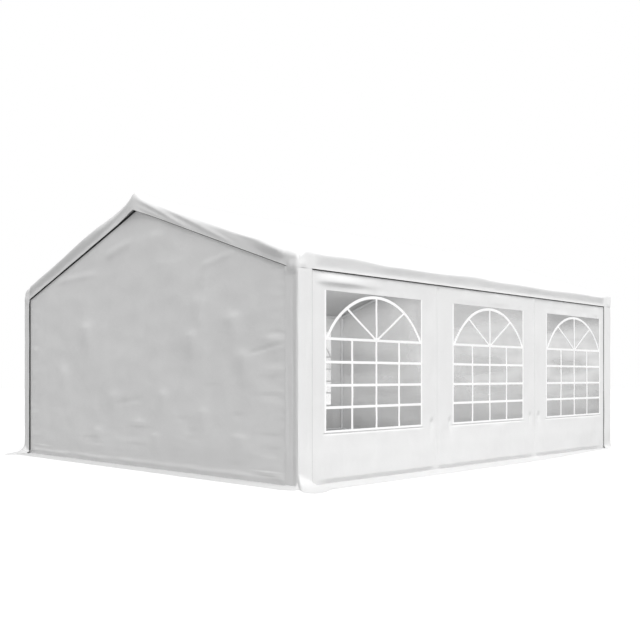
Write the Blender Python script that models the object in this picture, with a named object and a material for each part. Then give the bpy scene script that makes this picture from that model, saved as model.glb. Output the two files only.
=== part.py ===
# Marquee tent, 5 m wide and 6 m long: a steel tube frame with a fitted roof cover, walls and windows.
# Metres, +Z up. X runs across the tent, Y along its ridge, and the front gable faces -Y.
# The origin is on the ground in the middle of the plan.

import math

import bmesh
import bpy
from mathutils import Matrix, Vector

# Plan and heights, to the middles of the tubes
HALF_SPAN = 2.5
HALF_LENGTH = 3.0
BAY = 2.0
RIDGE_Z = 2.9117
PITCH = 0.345  # rise of the roof for each metre across
PURLIN_X = HALF_SPAN / 2
GROUND_RAIL_Z = 0.05
FRAME_YS = (-HALF_LENGTH, -BAY / 2, BAY / 2, HALF_LENGTH)
FRAME_NAMES = ("front", "mid_front", "mid_rear", "rear")
BAY_NAMES = ("front", "middle", "rear")
SIDES = (("right", 1), ("left", -1))
ENDS = (("front", -1), ("rear", 1))

# Tubes and the cast fittings that sleeve them together
TUBE_R = 0.019
SLEEVE_R = 0.0225
ROUND_SIDES = 12
SLEEVE_REACH = 0.09  # from the middle of a fitting to the mouth of a sleeve
SLEEVE_END = SLEEVE_R * 0.98  # how far a sleeve of an end frame runs on past the middle of its fitting
CROWN = 0.011  # how far the sleeve of a leg rises past the middle of its fitting, under the roof cover
LAP = 0.004  # how far the two downhill sleeves run past each other at the ridge
SEAT = 0.0003  # gap left where one piece bears on the next

# Feet
FOOT_SOCKET_H = 0.11
FOOT_PLATE = 0.12
FOOT_PLATE_T = 0.004

# Cover sheets, drawn thicker than the cloth
SHEET = 0.004
LAYER_GAP = 0.0005
WALL_IN = SLEEVE_R + LAYER_GAP  # the innermost layer, measured out from the middles of the legs
FASCIA_IN = WALL_IN + SHEET + LAYER_GAP  # the outer layer: the fascia, and the corner wraps below it
FASCIA_OUT = FASCIA_IN + SHEET
FASCIA_DROP = 0.138  # at the gables
EAVE_FASCIA_DROP = 0.112
HEM_KNEE = 0.14  # in from the corners, where the gables' hem starts to run out level with the eaves' hem
WALL_BOTTOM = SHEET + SEAT
WALL_TOP = 2.03
GABLE_TOP_ABOVE_RAFTER = 0.005
WRAP_ON_SIDE = 0.185
WRAP_ON_GABLE = 0.125
SIDE_FLAP_WIDTH = 0.275
GABLE_FLAP_WIDTH = 0.212

# Windows of a long wall, which hangs a little towards the rear
WINDOW_SHIFT = 0.03
WINDOW_YS = (WINDOW_SHIFT - BAY, WINDOW_SHIFT, WINDOW_SHIFT + BAY)
WINDOW_W = 1.42
WINDOW_H = 1.288
WINDOW_SILL = 0.49
FILM_T = 0.002

# Rounded foot of a corner wrap, where it spreads on the ground
FAN_CENTRE = (0.275, 0.09)  # out from the corner leg, across and along
FAN_R = 0.13
FAN_FROM_DEG = -40
FAN_TO_DEG = 100
FAN_STEPS = 9
FAN_NOTCH = ((0.15, 0.145), (0.13, 0.182), (0.06, 0.222), (0.0, 0.2355))  # round to the gable's part of the foot

SLOPE = math.atan(PITCH)
EAVE_Z = RIDGE_Z - PITCH * HALF_SPAN
PURLIN_Z = RIDGE_Z - PITCH * PURLIN_X
ROOF_IN = WALL_IN / math.cos(SLOPE)  # straight up from the rafters' middles to the cover's underside
ROOF_OUT = (WALL_IN + SHEET) / math.cos(SLOPE)


def remove_everything():
    for obj in list(bpy.data.objects):
        bpy.data.objects.remove(obj, do_unlink=True)


def make_material(name, colour, roughness, metallic=0.0, alpha=1.0):
    material = bpy.data.materials.new(name)
    material.use_nodes = True
    shader = material.node_tree.nodes["Principled BSDF"]
    shader.inputs["Base Color"].default_value = (*colour, 1.0)
    shader.inputs["Roughness"].default_value = roughness
    shader.inputs["Metallic"].default_value = metallic
    shader.inputs["Alpha"].default_value = alpha
    return material


def add_object(name, bm, material, smooth=False):
    """Turns a bmesh into one named object."""
    bmesh.ops.recalc_face_normals(bm, faces=bm.faces)
    mesh = bpy.data.meshes.new(name)
    bm.to_mesh(mesh)
    bm.free()
    if smooth:
        mesh.shade_smooth()
        mesh.set_sharp_from_angle(angle=math.radians(40))
    mesh.materials.append(material)
    obj = bpy.data.objects.new(name, mesh)
    bpy.context.scene.collection.objects.link(obj)
    return obj


def apply_boolean(obj, bm, operation, helper_name):
    """Joins or cuts an object with another shape, which stays behind as a hidden helper."""
    helper = add_object(helper_name, bm, obj.data.materials[0])
    helper.hide_render = True
    helper.display_type = "WIRE"
    modifier = obj.modifiers.new(operation.lower(), "BOOLEAN")
    modifier.operation = operation
    modifier.solver = "EXACT"
    modifier.object = helper


def join_shapes(name, shapes, material):
    """One smooth node from several shapes that run through each other."""
    obj = add_object(name, shapes[0], material, smooth=True)
    for number, bm in enumerate(shapes[1:], 1):
        apply_boolean(obj, bm, "UNION", f"{name}_joined_{number}")
    return obj


def roof_z(x, above=0.0):
    """Height of the rafters' middle line at x, plus a vertical distance above it."""
    return RIDGE_Z - PITCH * abs(x) + above


def uphill(sx):
    """The way up a roof slope, from the eave on side sx."""
    return Vector((-sx * math.cos(SLOPE), 0, math.sin(SLOPE)))


def add_rod(bm, start, end, radius):
    """A round bar between two points, with a corner of its outline facing Y, or X where it runs along Y."""
    start, end = Vector(start), Vector(end)
    run = end - start
    along = run.normalized()
    side = Vector((1, 0, 0)) if abs(along.y) > 0.9 else Vector((0, 1, 0))
    third = along.cross(side).normalized()
    turn = Matrix((third.cross(along), third, along)).transposed().to_4x4()
    place = Matrix.Translation((start + end) / 2) @ turn
    bmesh.ops.create_cone(
        bm, cap_ends=True, segments=ROUND_SIDES, radius1=radius, radius2=radius, depth=run.length, matrix=place
    )


def add_box(bm, low, high):
    low, high = Vector(low), Vector(high)
    size = Matrix.Diagonal((*(high - low), 1))
    bmesh.ops.create_cube(bm, size=1, matrix=Matrix.Translation((low + high) / 2) @ size)


def rods(runs, radius):
    """A shape of several bars, each given by its two ends."""
    bm = bmesh.new()
    for start, end in runs:
        add_rod(bm, start, end, radius)
    return bm


def sleeves_along_y(x, z):
    """The ends of the sleeve of each frame that takes the tubes of a long line."""
    runs = []
    for y in FRAME_YS:
        low = y - (SLEEVE_END if y == FRAME_YS[0] else SLEEVE_REACH)
        high = y + (SLEEVE_END if y == FRAME_YS[-1] else SLEEVE_REACH)
        runs.append(((x, low, z), (x, high, z)))
    return runs


def line_of_tube(x, z):
    """The tubes of a long line, end to end through its sleeves."""
    return [((x, -HALF_LENGTH, z), (x, HALF_LENGTH, z))]


# Frame: long lines of tube with the fittings they hold, and the legs, rafters and purlins between them

def add_ridge_rail(steel):
    shapes = [rods(line_of_tube(0, RIDGE_Z), TUBE_R), rods(sleeves_along_y(0, RIDGE_Z), SLEEVE_R)]
    for _, sx in SIDES:
        middles = [Vector((0, y, RIDGE_Z)) for y in FRAME_YS]
        runs = [(middle + uphill(sx) * LAP, middle - uphill(sx) * SLEEVE_REACH) for middle in middles]
        shapes.append(rods(runs, SLEEVE_R))
    join_shapes("ridge_rail", shapes, steel)


def add_eave_rails(steel):
    for side, sx in SIDES:
        x = sx * HALF_SPAN
        middles = [Vector((x, y, EAVE_Z)) for y in FRAME_YS]
        legs = [(middle + Vector((0, 0, CROWN)), middle - Vector((0, 0, SLEEVE_REACH))) for middle in middles]
        rafters = [(middle - uphill(sx) * CROWN, middle + uphill(sx) * SLEEVE_REACH) for middle in middles]
        shapes = [rods(line_of_tube(x, EAVE_Z), TUBE_R), rods(sleeves_along_y(x, EAVE_Z), SLEEVE_R * 0.98)]
        shapes += [rods(legs, SLEEVE_R), rods(rafters, SLEEVE_R)]
        join_shapes(f"eave_rail_{side}", shapes, steel)


def foot_plates(sx):
    """The plates under one row of legs, flush with the outsides of the legs."""
    bm = bmesh.new()
    outer_x = HALF_SPAN + SLEEVE_R
    for y in FRAME_YS:
        if abs(y) == HALF_LENGTH:
            outer_y = math.copysign(HALF_LENGTH + SLEEVE_R, y)
            y_low, y_high = sorted((outer_y, outer_y - math.copysign(FOOT_PLATE, y)))
        else:
            y_low, y_high = y - FOOT_PLATE / 2, y + FOOT_PLATE / 2
        x_low, x_high = sorted((sx * outer_x, sx * (outer_x - FOOT_PLATE)))
        add_box(bm, (x_low, y_low, 0), (x_high, y_high, FOOT_PLATE_T))
    return bm


def add_ground_rails(steel):
    """The rails that join the feet, with the feet of each long side on them."""
    for side, sx in SIDES:
        x = sx * HALF_SPAN
        sockets = [((x, y, FOOT_PLATE_T / 2), (x, y, FOOT_SOCKET_H)) for y in FRAME_YS]
        corners = [Vector((x, y, GROUND_RAIL_Z)) for y in (FRAME_YS[0], FRAME_YS[-1])]
        across = [(corner, corner - Vector((sx * SLEEVE_REACH, 0, 0))) for corner in corners]
        shapes = [
            foot_plates(sx),
            rods(sockets, SLEEVE_R),
            rods(sleeves_along_y(x, GROUND_RAIL_Z), SLEEVE_R * 0.98),
            rods(across, SLEEVE_R * 0.97),
            rods(line_of_tube(x, GROUND_RAIL_Z), TUBE_R),
        ]
        join_shapes(f"ground_rail_{side}", shapes, steel)
    reach = HALF_SPAN - SLEEVE_REACH - SEAT
    for end, sy in ENDS:
        y = sy * HALF_LENGTH
        tube = rods([((-reach, y, GROUND_RAIL_Z), (reach, y, GROUND_RAIL_Z))], TUBE_R)
        coupler = rods([((-SLEEVE_REACH, y, GROUND_RAIL_Z), (SLEEVE_REACH, y, GROUND_RAIL_Z))], SLEEVE_R)
        join_shapes(f"ground_rail_{end}", [tube, coupler], steel)


def add_legs(steel):
    for side, sx in SIDES:
        for place, y in zip(FRAME_NAMES, FRAME_YS):
            foot = (sx * HALF_SPAN, y, FOOT_SOCKET_H + SEAT)
            head = (sx * HALF_SPAN, y, EAVE_Z - SLEEVE_REACH - SEAT)
            add_object(f"leg_{side}_{place}", rods([(foot, head)], TUBE_R), steel, smooth=True)


def add_rafters(steel):
    """Each rafter carries the cross fitting of the purlin halfway up it."""
    for side, sx in SIDES:
        for place, y in zip(FRAME_NAMES, FRAME_YS):
            inset = uphill(sx) * (SLEEVE_REACH + SEAT)
            eave = Vector((sx * HALF_SPAN, y, EAVE_Z)) + inset
            ridge = Vector((0, y, RIDGE_Z)) - inset
            cross = Vector((sx * PURLIN_X, y, PURLIN_Z))
            sleeve = [(cross - uphill(sx) * SLEEVE_REACH, cross + uphill(sx) * SLEEVE_REACH)]
            arms = [run for run in sleeves_along_y(cross.x, cross.z) if run[0][1] < y < run[1][1]]
            shapes = [rods([(eave, ridge)], TUBE_R), rods(sleeve, SLEEVE_R), rods(arms, SLEEVE_R * 0.98)]
            join_shapes(f"rafter_{side}_{place}", shapes, steel)


def add_purlins(steel):
    inset = SLEEVE_REACH + SEAT
    for side, sx in SIDES:
        for place, low, high in zip(BAY_NAMES, FRAME_YS, FRAME_YS[1:]):
            x = sx * PURLIN_X
            run = ((x, low + inset, PURLIN_Z), (x, high - inset, PURLIN_Z))
            add_object(f"purlin_{side}_{place}", rods([run], TUBE_R), steel, smooth=True)


# Cover sheets

def add_prism(bm, outline, low, high, place):
    """Extrudes a flat outline of (a, b) points from low to high. place turns (a, b, height) into a point."""
    verts = [bm.verts.new(place(a, b, low)) for a, b in outline]
    face = bm.faces.new(verts)
    lift = Vector(place(0, 0, high)) - Vector(place(0, 0, low))
    top = bmesh.ops.extrude_face_region(bm, geom=[face])["geom"]
    bmesh.ops.translate(bm, vec=lift, verts=[v for v in top if isinstance(v, bmesh.types.BMVert)])


def across_tent(x, z, y):
    return (x, y, z)


def roof_outline(half, above):
    return [(-half, roof_z(half, above)), (0, roof_z(0, above)), (half, roof_z(half, above))]


def roof_block(margin, sunk):
    """A solid as deep as the fascia over the whole roof, wider by a margin and with its hem sunk a little."""
    half = HALF_SPAN + FASCIA_OUT + margin
    reach = HALF_LENGTH + FASCIA_OUT + margin
    hem = []
    for x, drop in ((half, EAVE_FASCIA_DROP), (half - HEM_KNEE, FASCIA_DROP), (0, FASCIA_DROP)):
        hem.append((x, roof_z(x, ROOF_OUT) - drop - sunk))
    hem += [(-x, z) for x, z in reversed(hem[:-1])]
    bm = bmesh.new()
    add_prism(bm, roof_outline(half, ROOF_OUT) + hem, -reach, reach, across_tent)
    return bm


def add_roof_cover(cloth):
    """One sheet over both slopes, with a fascia hanging along the eaves and the gables."""
    cover = add_object("roof_cover", roof_block(0, 0), cloth)

    inner = HALF_SPAN + FASCIA_IN
    under = roof_outline(inner, ROOF_IN)
    below = WALL_TOP - FASCIA_DROP * 2
    reach = HALF_LENGTH + FASCIA_IN
    hollow = bmesh.new()
    add_prism(hollow, under + [(inner, below), (-inner, below)], -reach, reach, across_tent)
    apply_boolean(cover, hollow, "DIFFERENCE", "under_the_roof")


def add_gable_walls(cloth):
    half = HALF_SPAN + WALL_IN - LAYER_GAP
    outline = [(half, WALL_BOTTOM), (-half, WALL_BOTTOM)] + roof_outline(half, GABLE_TOP_ABOVE_RAFTER)
    inner = HALF_LENGTH + WALL_IN
    for end, sy in ENDS:
        bm = bmesh.new()
        add_prism(bm, outline, sy * inner, sy * (inner + SHEET), across_tent)
        add_object(f"gable_wall_{end}", bm, cloth)


def add_side_walls(cloth):
    """Each long wall has three window openings."""
    reach = HALF_LENGTH + WALL_IN + SHEET
    for side, sx in SIDES:
        x_low, x_high = sorted((sx * (HALF_SPAN + WALL_IN), sx * (HALF_SPAN + WALL_IN + SHEET)))
        wall = bmesh.new()
        add_box(wall, (x_low, -reach, WALL_BOTTOM), (x_high, reach, WALL_TOP))
        openings = bmesh.new()
        for y in WINDOW_YS:
            low = (x_low - SHEET, y - WINDOW_W / 2, WINDOW_SILL)
            high = (x_high + SHEET, y + WINDOW_W / 2, WINDOW_SILL + WINDOW_H)
            add_box(openings, low, high)
        obj = add_object(f"side_wall_{side}", wall, cloth)
        apply_boolean(obj, openings, "DIFFERENCE", f"window_openings_{side}")


def add_window_films(film):
    middle = HALF_SPAN + WALL_IN + SHEET / 2
    half_w = WINDOW_W / 2 - SEAT
    for side, sx in SIDES:
        for place, y in zip(BAY_NAMES, WINDOW_YS):
            low = (sx * middle - FILM_T / 2, y - half_w, WINDOW_SILL + SEAT)
            high = (sx * middle + FILM_T / 2, y + half_w, WINDOW_SILL + WINDOW_H - SEAT)
            bm = bmesh.new()
            add_box(bm, low, high)
            add_object(f"window_film_{side}_{place}", bm, film)


def wrap_outlines():
    """Outlines round a corner leg, as distances out from it: the upright angle of sheet, then its foot."""
    near, far = FASCIA_IN, FASCIA_OUT
    side_edge = far - WRAP_ON_SIDE
    gable_edge = far - WRAP_ON_GABLE
    angle = [(far, far), (far, side_edge), (near, side_edge), (near, near), (gable_edge, near), (gable_edge, far)]
    fan_in = WALL_IN + LAYER_GAP
    fan = [(gable_edge, WALL_IN + GABLE_FLAP_WIDTH), (gable_edge, fan_in), (fan_in, fan_in)]
    fan += [(fan_in, side_edge), (WALL_IN + SIDE_FLAP_WIDTH, side_edge)]
    for step in range(FAN_STEPS + 1):
        turn = math.radians(FAN_FROM_DEG + (FAN_TO_DEG - FAN_FROM_DEG) * step / FAN_STEPS)
        fan.append((FAN_CENTRE[0] + FAN_R * math.cos(turn), FAN_CENTRE[1] + FAN_R * math.sin(turn)))
    fan += FAN_NOTCH
    return angle, fan


def add_corner_wraps(cloth):
    """An angle of sheet under the fascia at each corner that spreads into a rounded flap on the ground."""
    angle, fan = wrap_outlines()
    for end, sy in ENDS:
        for side, sx in SIDES:

            def out_from_corner(a, b, z, sx=sx, sy=sy):
                return (sx * (HALF_SPAN + a), sy * (HALF_LENGTH + b), z)

            upright, foot = bmesh.new(), bmesh.new()
            add_prism(upright, angle, SHEET / 2, WALL_TOP, out_from_corner)
            add_prism(foot, fan, 0, SHEET, out_from_corner)
            name = f"corner_wrap_{end}_{side}"
            obj = add_object(name, upright, cloth)
            apply_boolean(obj, roof_block(SHEET, SEAT), "DIFFERENCE", f"{name}_fascia")
            apply_boolean(obj, foot, "UNION", f"{name}_foot")


def add_ground_flaps(cloth):
    """Strips that lie outwards on the ground from the bottoms of the walls, between the corner wraps."""
    side_reach = HALF_LENGTH + FASCIA_OUT - WRAP_ON_SIDE - LAYER_GAP
    for side, sx in SIDES:
        x_low, x_high = sorted((sx * (HALF_SPAN + WALL_IN), sx * (HALF_SPAN + WALL_IN + SIDE_FLAP_WIDTH)))
        bm = bmesh.new()
        add_box(bm, (x_low, -side_reach, 0), (x_high, side_reach, SHEET))
        add_object(f"ground_flap_{side}", bm, cloth)
    gable_reach = HALF_SPAN + FASCIA_OUT - WRAP_ON_GABLE - LAYER_GAP
    for end, sy in ENDS:
        y_low, y_high = sorted((sy * (HALF_LENGTH + WALL_IN), sy * (HALF_LENGTH + WALL_IN + GABLE_FLAP_WIDTH)))
        bm = bmesh.new()
        add_box(bm, (-gable_reach, y_low, 0), (gable_reach, y_high, SHEET))
        add_object(f"ground_flap_{end}", bm, cloth)


def main():
    remove_everything()
    steel = make_material("white_coated_steel", (0.78, 0.79, 0.80), 0.35)
    cloth = make_material("white_cover", (0.86, 0.86, 0.86), 0.55)
    film = make_material("clear_film", (0.80, 0.82, 0.83), 0.12, alpha=0.35)
    add_ridge_rail(steel)
    add_eave_rails(steel)
    add_ground_rails(steel)
    add_legs(steel)
    add_rafters(steel)
    add_purlins(steel)
    add_roof_cover(cloth)
    add_gable_walls(cloth)
    add_side_walls(cloth)
    add_window_films(film)
    add_corner_wraps(cloth)
    add_ground_flaps(cloth)


main()
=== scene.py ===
# Marquee tent: roof cover, walls, clear windows, corner wraps and ground flaps over a steel frame.
# Metres. +Z is up, the ridge runs along Y, and the front gable is at -Y.

import math

import bmesh
import bpy
from mathutils import Matrix, Vector, noise

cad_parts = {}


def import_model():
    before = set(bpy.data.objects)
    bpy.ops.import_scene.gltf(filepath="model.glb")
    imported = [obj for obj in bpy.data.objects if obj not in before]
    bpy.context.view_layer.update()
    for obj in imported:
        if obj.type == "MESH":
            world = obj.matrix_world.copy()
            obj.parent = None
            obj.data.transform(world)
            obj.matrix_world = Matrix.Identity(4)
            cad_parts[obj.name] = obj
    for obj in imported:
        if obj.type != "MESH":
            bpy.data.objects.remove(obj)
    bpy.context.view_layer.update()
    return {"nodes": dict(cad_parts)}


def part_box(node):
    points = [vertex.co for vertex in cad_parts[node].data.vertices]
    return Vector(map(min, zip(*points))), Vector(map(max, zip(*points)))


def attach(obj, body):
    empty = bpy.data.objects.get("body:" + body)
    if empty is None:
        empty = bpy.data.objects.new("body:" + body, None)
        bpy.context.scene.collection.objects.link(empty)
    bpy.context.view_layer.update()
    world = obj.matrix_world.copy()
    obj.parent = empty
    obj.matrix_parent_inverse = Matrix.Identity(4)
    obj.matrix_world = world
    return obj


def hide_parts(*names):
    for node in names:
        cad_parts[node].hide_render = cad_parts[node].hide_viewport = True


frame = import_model()

# Camera, fitted to the photograph: a level view from beside the front right corner
CAMERA_PLACE = (7.9123, -8.3217, 0.9832)
CAMERA_YAW = math.radians(44.078)
LENS_MM = 47.98
SENSOR_MM = 36.0
PHOTO_SIDE = 640
HORIZON_PX = 376.88  # row of the horizon

# Sides and ends, each with the way it lies along X or Y, and the bays between the frames
SIDES = (("right", 1), ("left", -1))
ENDS = (("front", -1), ("rear", 1))
BAYS = ("front", "middle", "rear")


# Places taken from the solids

def middle_of(box, axis):
    """Middle of a solid's box along X, which is axis 0, or along Y, which is axis 1."""
    low, high = box
    return (low[axis] + high[axis]) / 2


COVER_LOW, COVER_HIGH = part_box("roof_cover")
FILM_LOW, FILM_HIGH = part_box("window_film_right_middle")
HALF_SPAN = middle_of(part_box("leg_right_front"), 0)
HALF_LENGTH = middle_of(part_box("leg_right_rear"), 1)
PURLIN_X = middle_of(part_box("purlin_right_middle"), 0)
MID_FRAME_Y = middle_of(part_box("leg_right_mid_rear"), 1)
WINDOW_YS = [middle_of(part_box(f"window_film_right_{bay}"), 1) for bay in BAYS]
WINDOW_HALF = (FILM_HIGH.y - FILM_LOW.y) / 2
SILL = FILM_LOW.z
HEAD = FILM_HIGH.z
WALL_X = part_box("side_wall_right")[1].x
WALL_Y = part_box("gable_wall_rear")[1].y
WALL_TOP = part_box("side_wall_right")[1].z
GABLE_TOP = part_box("gable_wall_front")[1].z
OUTER_X = COVER_HIGH.x
OUTER_Y = COVER_HIGH.y
RIDGE_TOP = COVER_HIGH.z
HEM_Z = COVER_LOW.z

# Shape of the roof
FASCIA_DROP = 0.138  # depth of the fascia at the gables
EAVE_FASCIA_DROP = 0.112
HEM_KNEE = 0.14  # in from the corners, where the gables' hem starts to run out level with the eaves' hem
PITCH = (RIDGE_TOP - HEM_Z - EAVE_FASCIA_DROP) / OUTER_X
SLOPE = math.atan(PITCH)

# Thickness of cloth, film, window bars and the painted shadow strips
CLOTH_T = 0.0015
FILM_T = 0.0008
BAR_T = 0.001
SHADOW_STRIP_T = 0.0008

CELL = 0.03  # side of a mesh's cell where the sheet is calm
WELD = 1e-5  # points closer than this are one
SHARP_ANGLE = math.radians(50)
LEDGE_TAIL = 3.6  # how much longer a ledge's lower side is than its top side


# Small sums

def smooth(start, end, value):
    """0 before start, 1 after end, and an even swing between them."""
    share = min(max((value - start) / (end - start), 0.0), 1.0)
    return share * share * (3 - 2 * share)


def bump(distance, width):
    """A soft swelling, 1 at no distance and almost nothing past two widths."""
    return math.exp(-((distance / width) ** 2))


def spaced(start, end, step):
    """Even places from start to end, no more than a step apart."""
    count = max(1, math.ceil(abs(end - start) / step - 1e-6))
    return [start + (end - start) * i / count for i in range(count + 1)]


def joined(*runs):
    """Runs of places joined end to end, each place once."""
    places = list(runs[0])
    for run in runs[1:]:
        places += run[1:]
    return places


def stepped(stops, step):
    """Places no more than a step apart that take in every stop."""
    return joined(*[spaced(low, high, step) for low, high in zip(stops, stops[1:])])


def ripple(u, v, size, layer=0.0):
    """Even, seamless unrest from -1 to 1, with swells about as wide as size."""
    return noise.noise(Vector((u / size, v / size, layer)))


def ledge(across, up, half_width, half_height):
    """A swelling with a steep top side and a long lower side, 1 at its middle."""
    return bump(across, half_width) * bump(up, half_height if up > 0 else LEDGE_TAIL * half_height)


def fold(u, v, start, end, width):
    """Height, 0 to 1, of a long soft crease between two points of a sheet."""
    run = Vector((end[0] - start[0], end[1] - start[1]))
    offset = Vector((u - start[0], v - start[1]))
    along = offset.dot(run) / run.length_squared
    across = abs(offset.x * run.y - offset.y * run.x) / run.length
    ends = smooth(-0.12, 0.18, along) * (1 - smooth(0.82, 1.12, along))
    return bump(across, width) * ends


# Materials

def group(name, inputs, outputs):
    """A shader node group with its sockets, and the two nodes that stand for them inside."""
    tree = bpy.data.node_groups.new(name, "ShaderNodeTree")
    for label, kind, value in inputs:
        socket = tree.interface.new_socket(label, in_out="INPUT", socket_type=kind)
        if value is not None:
            socket.default_value = value
    for label, kind in outputs:
        tree.interface.new_socket(label, in_out="OUTPUT", socket_type=kind)
    return tree, tree.nodes.new("NodeGroupInput"), tree.nodes.new("NodeGroupOutput")


def node(tree, kind, settings=None, **inputs):
    """A new node with its settings, and its inputs given as values or as the outputs that feed them.

    An input goes by its label, or by _ and its number.
    """
    made = tree.nodes.new(kind)
    for label, value in (settings or {}).items():
        setattr(made, label, value)
    for label, value in inputs.items():
        socket = made.inputs[int(label[1:]) if label[1:].isdigit() else label.replace("_", " ")]
        if isinstance(value, bpy.types.NodeSocket):
            tree.links.new(value, socket)
        else:
            socket.default_value = value
    return made


def maths(tree, operation, *values, clamp=False):
    """The result of a sum on one or two values."""
    inputs = {f"_{i}": value for i, value in enumerate(values)}
    return node(tree, "ShaderNodeMath", {"operation": operation, "use_clamp": clamp}, **inputs).outputs[0]


def ranged(tree, value, start, end, low, high):
    """Low where a value is at its start, high where it is at its end, and even steps between."""
    return node(tree, "ShaderNodeMapRange", Value=value, From_Min=start, From_Max=end,
                To_Min=low, To_Max=high).outputs[0]


def mixed(tree, share, first, second):
    """The colour at a share of the way between two."""
    return node(tree, "ShaderNodeMix", {"data_type": "RGBA"}, _0=share, _6=first, _7=second).outputs[2]


def grey(level):
    return (level, level, level, 1.0)


def on_cloth(tree):
    """Place on a sheet as it was cut, in metres."""
    return node(tree, "ShaderNodeUVMap", {"uv_map": "cloth"}).outputs["UV"]


def on_object(tree):
    """Place in the tent, in metres."""
    return node(tree, "ShaderNodeTexCoord").outputs["Object"]


def make_weave_group():
    """Threads of a coated woven sheet: a fine square grid that shows through its coating."""
    inputs = [("Cloth", "NodeSocketVector", None), ("Threads per metre", "NodeSocketFloat", 700.0)]
    tree, given, result = group("coated weave", inputs, [("Height", "NodeSocketFloat")])
    scaled = node(tree, "ShaderNodeVectorMath", {"operation": "SCALE"}, Vector=given.outputs["Cloth"],
                  Scale=given.outputs["Threads per metre"])
    parts = node(tree, "ShaderNodeSeparateXYZ", Vector=scaled.outputs[0])
    waves = [maths(tree, "SINE", parts.outputs[axis]) for axis in "XY"]
    tree.links.new(maths(tree, "ADD", *waves), result.inputs["Height"])
    return tree


def make_creases_group():
    """Soft creases that a sheet keeps from lying folded, and the faint clouds they leave in its tone."""
    inputs = [("Cloth", "NodeSocketVector", None), ("Size", "NodeSocketFloat", 3.0)]
    outputs = [("Height", "NodeSocketFloat"), ("Clouds", "NodeSocketFloat")]
    tree, given, result = group("soft creases", inputs, outputs)
    broad = node(tree, "ShaderNodeTexNoise", Vector=given.outputs["Cloth"], Scale=given.outputs["Size"],
                 Detail=3.0, Roughness=0.5, Distortion=0.6)
    finer = maths(tree, "MULTIPLY", given.outputs["Size"], 5.0)
    small = node(tree, "ShaderNodeTexNoise", Vector=given.outputs["Cloth"], Scale=finer,
                 Detail=2.0, Roughness=0.45, Distortion=0.9)
    weight = maths(tree, "MULTIPLY", small.outputs["Fac"], 0.18)
    tree.links.new(maths(tree, "ADD", broad.outputs["Fac"], weight), result.inputs["Height"])
    tree.links.new(broad.outputs["Fac"], result.inputs["Clouds"])
    return tree


def new_material(name, roughness):
    """A new material, its node tree and its shader."""
    material = bpy.data.materials.new(name)
    material.use_nodes = True
    shader = material.node_tree.nodes["Principled BSDF"]
    shader.inputs["Roughness"].default_value = roughness
    return material, material.node_tree, shader


def cloth_material(name, dark, light, relief):
    """Coated white cloth with painted shade near the ground. Dark and light are the greys of its clouds."""
    material, tree, shader = new_material(name, 0.5)
    height = node(tree, "ShaderNodeSeparateXYZ", Vector=on_object(tree)).outputs["Z"]
    # Painted shade: below 0.3 m the cloth's tone falls to 0.85 at the ground, standing in for the shade at
    # the walls' feet and on the ground flaps.
    painted_ground_shade = ranged(tree, height, 0.0, 0.30, 0.85, 1.0)
    cloth = on_cloth(tree)
    creases = node(tree, "ShaderNodeGroup", {"node_tree": CREASES}, Cloth=cloth, Size=3.0)
    weave = node(tree, "ShaderNodeGroup", {"node_tree": WEAVE}, Cloth=cloth, Threads_per_metre=700.0)
    tone = mixed(tree, creases.outputs["Clouds"], grey(dark), grey(light))
    ground_shaded = node(tree, "ShaderNodeVectorMath", {"operation": "SCALE"}, Vector=tone, Scale=painted_ground_shade)
    tree.links.new(ground_shaded.outputs[0], shader.inputs["Base Color"])
    soft = node(tree, "ShaderNodeBump", Strength=relief, Distance=0.02, Height=creases.outputs["Height"])
    fine = node(tree, "ShaderNodeBump", Strength=0.12, Distance=0.0004, Height=weave.outputs["Height"],
                Normal=soft.outputs["Normal"])
    tree.links.new(fine.outputs["Normal"], shader.inputs["Normal"])
    shader.inputs["Specular IOR Level"].default_value = 0.35
    return material


def film_material():
    """Clear soft film with a milky haze that is thicker at a slant. The haze is also thicker in level bands
    and thinner at sill and head: that is painted reflection, standing in for the light that the waved film
    reflects.
    """
    material, tree, shader = new_material("clear_film", 0.16)
    shader.inputs["Base Color"].default_value = grey(0.80)
    cloth = on_cloth(tree)
    height = node(tree, "ShaderNodeSeparateXYZ", Vector=cloth).outputs["Y"]
    slant = node(tree, "ShaderNodeLayerWeight", Blend=0.4).outputs["Facing"]
    level = node(tree, "ShaderNodeVectorMath", {"operation": "MULTIPLY"}, _0=cloth, _1=(0.6, 3.5, 1.0))
    waves = node(tree, "ShaderNodeTexNoise", Vector=level.outputs[0], Scale=1.4, Detail=1.0, Distortion=0.3)
    haze = ranged(tree, slant, 0.18, 0.60, 0.04, 0.64)
    # Painted reflection: the haze thickens in level bands and thins near sill and head, standing in for
    # reflections on the waved film.
    bands = ranged(tree, waves.outputs["Fac"], 0.3, 0.7, 0.55, 1.45)
    rise = ranged(tree, height, SILL, SILL + 0.5, 0.30, 1.15)
    fade = ranged(tree, height, HEAD - 0.35, HEAD, 1.0, 0.30)
    painted_reflections = maths(tree, "MULTIPLY", bands, maths(tree, "MULTIPLY", rise, fade))
    tree.links.new(maths(tree, "MULTIPLY", haze, painted_reflections, clamp=True), shader.inputs["Alpha"])
    creases = node(tree, "ShaderNodeGroup", {"node_tree": CREASES}, Cloth=cloth, Size=2.2)
    soft = node(tree, "ShaderNodeBump", Strength=0.25, Distance=0.01, Height=creases.outputs["Height"])
    tree.links.new(soft.outputs["Normal"], shader.inputs["Normal"])
    return material


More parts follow.
